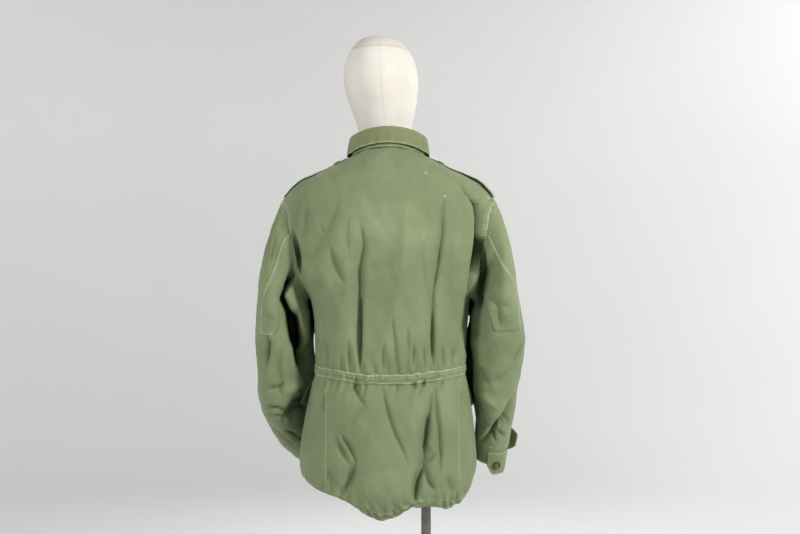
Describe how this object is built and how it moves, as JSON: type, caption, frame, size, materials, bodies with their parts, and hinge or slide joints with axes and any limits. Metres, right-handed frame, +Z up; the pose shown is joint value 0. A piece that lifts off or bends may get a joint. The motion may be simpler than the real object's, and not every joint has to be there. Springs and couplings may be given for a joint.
{
  "type": "field jacket on an egg-headed dress form with its stand",
  "caption": "Empty cotton field jacket with folded collar, shoulder straps, drawcord waist and dipped hem, hanging on a faceless dress form on a pole and round base.",
  "frame": {"origin": "centre of the base plate's underside, on the floor", "axes": "+Z up; the jacket's front faces -Y and the wearer's left is +X"},
  "size_m": [0.5764, 0.3894, 1.7445],
  "materials": {
    "olive_sateen": "matt cotton sateen",
    "olive_plastic": "satin",
    "form_linen": "fine linen, matt",
    "brushed_steel": "brushed",
    "base_enamel": "satin enamel"
  },
  "bodies": {
    "root": {"back": "olive_sateen", "front_left": "olive_sateen", "front_right": "olive_sateen", "sleeve_left": "olive_sateen", "sleeve_right": "olive_sateen", "sleeve_gusset_left": "olive_sateen", "sleeve_gusset_right": "olive_sateen", "collar": "olive_sateen", "epaulette_left": "olive_sateen", "epaulette_right": "olive_sateen", "storm_flap": "olive_sateen", "waist_channel_back": "olive_sateen", "waist_channel_left": "olive_sateen", "waist_channel_right": "olive_sateen", "pocket_flap_left": "olive_sateen", "pocket_flap_right": "olive_sateen", "cuff_tab_left": "olive_sateen", "cuff_tab_right": "olive_sateen", "cuff_strap_left": "olive_sateen", "cuff_strap_right": "olive_sateen", "epaulette_button_left": "olive_plastic", "epaulette_button_right": "olive_plastic", "cuff_button_left": "olive_plastic", "cuff_button_right": "olive_plastic", "front_button_1": "olive_plastic", "front_button_2": "olive_plastic", "front_button_3": "olive_plastic", "front_button_4": "olive_plastic", "front_button_5": "olive_plastic", "dress_form": "form_linen", "pole": "brushed_steel", "base_socket": "brushed_steel", "form_socket": "brushed_steel", "base_plate": "base_enamel"}
  },
  "joints": []
}
